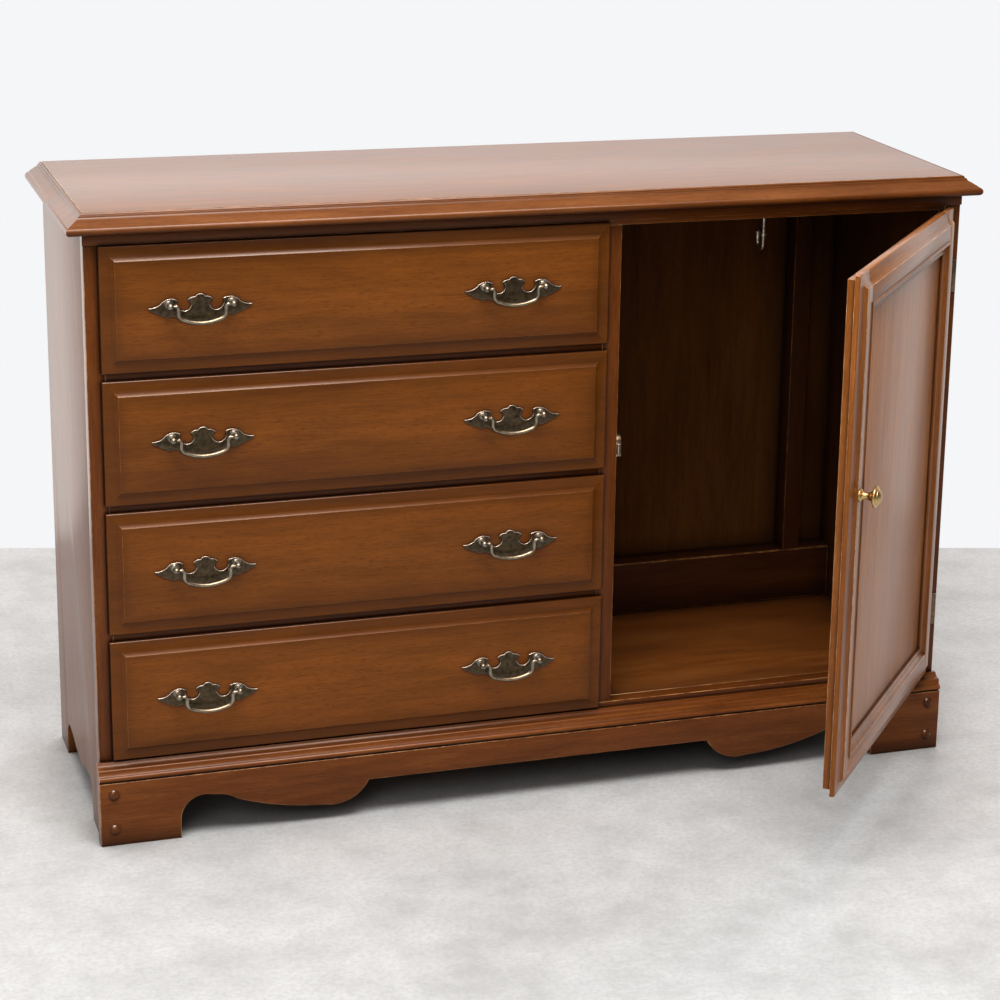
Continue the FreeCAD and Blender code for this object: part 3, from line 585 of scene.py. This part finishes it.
# Maple sealed with shellac is pale honey, smooth, and hardly shines.
drawer_wood = varnished_wood(
    "shellacked_maple", "#8a6238", "#b08652", "#c9a26e", worn_and_highlight="#d8b88a", grime_and_shade="#4a2f16", sheen=0.2,
    roughness=0.5, pores=0.25,
)

# The cupboard floor has lost most of its varnish, and so light spreads on it in a warm sheen.
floor_wood = varnished_wood(
    "stained_hardwood_shelf", "#432209", "#6a3911", "#824e1f", worn_and_highlight="#dba966", roughness=0.45,
)

board("partition", dark_wood, along_z_deep, seed=51)
board("drawer_runners", drawer_wood, along_y_flat, seed=52)
board("cupboard_floor", floor_wood, along_x_flat, seed=53)
board("back_rails", dark_wood, along_x_upright, seed=54, ease=0.002)
board("back_post", dark_wood, along_z_wide, seed=55)
board("back_panel", back_wood, along_z_wide, seed=56)


# Door
# Two stiles and two rails of hardwood, lipped and tenoned together, hold a flat panel.
# A moulding with two ridges is mitred and glued round the panel.

# The grain is laid on the door as it would be when shut, because it stands open at rest.
hinge = next(joint for joint in frame["joints"] if joint["name"] == "door_hinge")
hinge_line = Vector(hinge["pos_m"])
shut_turn = Matrix.Rotation(math.radians(hinge["range_deg"][0]), 4, "Z")
to_shut = Matrix.Translation(hinge_line) @ shut_turn @ Matrix.Translation(-hinge_line)

# The frame has a lively figure, with arrises and ridges rubbed to nearly bare wood, their pale
# also a painted highlight. Its stain is lighter than the case's, partly as painted light on
# the open door, which the lamps reach less.
door_frame_wood = varnished_wood(
    "stained_hardwood_door", "#693712", "#91531f", "#b26c33", worn_and_highlight="#eab98e", grime_and_shade="#2a1205",
    shaded=0.1, waves=0.1,
)

# The flat panel is the lightest wood of the front, partly as painted light on the open door,
# which the lamps reach less, and smooth as a mirror where the light grazes it.
door_wood = varnished_wood(
    "stained_hardwood_panel", "#784014", "#9c5b20", "#b67236", sheen=0.74, shaded=0.2, waves=0.05,
)

for node, wood, order, seed in (
    ("door_latch_stile", door_frame_wood, along_z_wide, 61),
    ("door_hinge_stile", door_frame_wood, along_z_wide, 62),
    ("door_panel", door_wood, along_z_wide, 63),
    ("door_rails", door_frame_wood, along_x_upright, 65),
):
    board(node, wood, order, seed, body="door", ease=0.0006, turned_back=to_shut)
board(
    "door_moulding", door_frame_wood, along_x_flat, seed=66, body="door", ease=0.0012,
    sharper_than=20.0, lengthwise=True, turned_back=to_shut,
)


# Drawers
# Each has a hardwood front with a lip and a raised field, and sides of pale maple that are
# half-blind dovetailed into it. The back and the thin bottom are let into the sides.

# The fronts are the warmest and plainest wood, with open pores, and darker round their rims,
# partly as wiped stain and partly as painted shade.
front_wood = varnished_wood(
    "stained_hardwood_front", "#5c300e", "#754111", "#8c4d17", worn_and_highlight="#bb8049", grime_and_shade="#2c1205",
    shaded=0.4, pores=0.8,
)

for row in range(1, 5):
    name = "drawer_" + str(row)
    board(name + "_front", front_wood, along_x_upright, seed=70 + row, body=name, ease=0.0005)
    board(name + "_sides", drawer_wood, along_y_flat, seed=80 + row, body=name)
    board(name + "_back", drawer_wood, along_x_upright, seed=90 + row, body=name)
    board(name + "_bottom", drawer_wood, along_x_flat, seed=100 + row, body=name, ease=0.0)


# Drawer pulls
# Bat-wing plates and bails are cast in brass. Ball-headed posts are turned and riveted through
# the plates, and the ends of a bail sit in their bores, so that it swings.


def aged_metal(name, patina_and_shade, body_colour, high, roughness, mottle=1.0, under=0.0):
    """Metal with dark tone in its hollows, painted shade below, and rims painted bright on top.

    The colours are the hollows and the painted shade, the body, and the rims, which are partly
    rubbed and partly painted highlight. Mottle is how blotchy the body is, and under is how far
    the painted shade covers an underside.
    """
    material, tree = new_material(name)
    where = add(tree, "TexCoord").outputs["Object"]
    geometry = add(tree, "NewGeometry").outputs["Normal"]

    # Blotches of tarnish are some millimetres wide. The fine grain of the sand mould is drawn
    # coarser than the real one, so that it shows.
    blotch_scale = mm_per_metre / 5.26
    mould_scale = mm_per_metre / 0.417
    blotch = add(tree, "TexNoise", {
        "Vector": where, "Scale": blotch_scale, "Detail": 4.0, "Roughness": 0.6,
    })
    fine = add(tree, "TexNoise", {"Vector": where, "Scale": mould_scale, "Detail": 2.0})
    mottled = add(tree, "Math", (blotch, mottle, 0.5 - 0.5 * mottle), operation="MULTIPLY_ADD")
    colour = add(tree, "ValToRGB", (mottled,), ((0.36, patina_and_shade), (0.62, body_colour)))

    # Dark tone stays where a cloth doesn't reach, in the hollows. A face turned downwards is
    # painted dark as well, as painted shade.
    hidden = add(tree, "AmbientOcclusion", {"Distance": 0.006}, samples=6).outputs["AO"]
    toned = add(tree, "ValToRGB", (hidden,), ((0.35, 0.85), (0.85, 0.0)))
    colour = add(tree, "Mix", (toned, colour, patina_and_shade), data_type="RGBA")
    normal = add(tree, "SeparateXYZ", (geometry,))
    upward = add(tree, "Math", (normal.outputs["Z"], 0.5, 0.5), operation="MULTIPLY_ADD")
    below = add(tree, "ValToRGB", (upward,), ((0.15, under), (0.5, 0.0)))
    colour = add(tree, "Mix", (below, colour, patina_and_shade), data_type="RGBA")

    # Cloths and fingers have rubbed the rims bright, some two millimetres in. Only rims that face
    # the ceiling are painted bright, and so this is also a painted highlight.
    rub_width = 0.0022
    arris = add(tree, "Attribute", attribute_name="arris").outputs["Fac"]
    rounded = add(tree, "Bevel", {"Radius": rub_width}, samples=8)
    turned = add(tree, "VectorMath", (rounded, geometry), operation="DOT_PRODUCT")
    near_rim = add(tree, "ValToRGB", (turned,), ((0.80, 1.0), (0.97, 0.0)))
    rim = add(tree, "Math", (arris, near_rim), operation="MAXIMUM")
    raised = add(tree, "SeparateXYZ", (rounded,))
    painted_highlight_from_above = add(tree, "ValToRGB", (raised.outputs["Z"],), ((0.05, 0.1), (0.3, 1.0)))
    rim = add(tree, "Math", (rim, painted_highlight_from_above), operation="MULTIPLY")
    colour = add(tree, "Mix", (rim, colour, high), data_type="RGBA")

    rough = add(tree, "Math", (blotch, 0.2, roughness - 0.1), operation="MULTIPLY_ADD")
    bump = add(tree, "Bump", {"Strength": 0.05, "Distance": 0.0001, "Height": fine})
    surface = add(tree, "BsdfPrincipled", {
        "Base Color": colour, "Metallic": 1.0, "Roughness": rough, "Normal": bump,
    })
    add(tree, "OutputMaterial", {"Surface": surface})
    return material


def metal_piece(node, body, metal, ease=0.0004, posts=None):
    """A metal piece with softened edges, whose small posts may be of another metal."""
    bm = merged(node)
    ease_edges(bm, ease, segments=3)
    if posts:
        longest_post = 0.02
        for group in islands(bm):
            if max((vert.co - group[0].co).length for vert in group) < longest_post:
                for face in {face for vert in group for face in vert.link_faces}:
                    face.material_index = 1
    piece = fix_in_place(bm, node, "_metal", body, metal, smooth_below=40.0)
    if posts:
        piece.data.materials.append(posts)


# The plates are toned nearly black-brown, with bright edges where a cloth has rubbed them,
# which are also a painted highlight on top, and painted shade below.
antique_brass = aged_metal(
    "antiqued_cast_brass", "#2c251c", "#625643", "#fff6ea", 0.40, mottle=0.5, under=0.7,
)

# Fingers have rubbed the posts to a soft grey gold. They are painted dark below, as painted shade.
post_brass = aged_metal(
    "rubbed_brass_posts", "#524a40", "#a8a496", "#f2f2ee", 0.36, mottle=0.4, under=0.8,
)

# The bails are the most rubbed, pale and even, with painted shade only on their undersides.
bail_brass = aged_metal(
    "rubbed_cast_brass", "#463c2e", "#bdb39e", "#fff6ea", 0.36, mottle=0.3, under=0.9,
)

for row in range(1, 5):
    name = "drawer_" + str(row)
    metal_piece(name + "_pulls", name, antique_brass, ease=0.0011, posts=post_brass)
    for hand in ("left", "right"):
        metal_piece(name + "_bail_" + hand, name + "_bail_" + hand, bail_brass)


# Knob and strike plate
# The knob is turned from solid brass, polished, and screwed on through the latch stile.
# The strike is a small nickelled steel plate on the back of the stile, for the catch to hold.

# Polished turned brass is clear yellow gold, bright all over.
polished_brass = aged_metal(
    "polished_turned_brass", "#a58650", "#d6bb84", "#f6e8c4", 0.32, mottle=0.5,
)

# Dull nickel plate is a grey white that blurs what it mirrors.
nickel_plate = aged_metal("dull_nickel_plate", "#8a857a", "#c9c4b8", "#f4f0e8", 0.38)

metal_piece("door_knob", "door", polished_brass)
metal_piece("door_strike_plate", "door", nickel_plate)


# Hinges
# Two hinges are pressed from steel and bronzed. Of each, the leaf with the pin is screwed to
# the face frame and the other leaf to the hinge stile.

# Bronzed steel is a warm brown metal with golden edges, rubbed and painted as highlight on top.
bronzed_steel = aged_metal("bronzed_steel", "#4a3a2a", "#8a745a", "#e6d3b6", 0.36, mottle=0.5)

metal_piece("hinge_door_leaves", "door", bronzed_steel)
metal_piece("hinge_frame_leaves", "carcass", bronzed_steel)


# Coat hook and catch
# The hook is bent from steel wire, nickelled, and fixed under the top. The catch is a nickelled
# steel spring, screwed to the partition behind the face frame.

# Nickelled wire is dull silver, a little warmer in its hollows.
nickel_wire = aged_metal("dull_nickel_plated_wire", "#8b857a", "#cfc9bc", "#f1ede4", 0.35)

metal_piece("coat_hook", "carcass", nickel_wire)
metal_piece("catch", "carcass", nickel_plate)
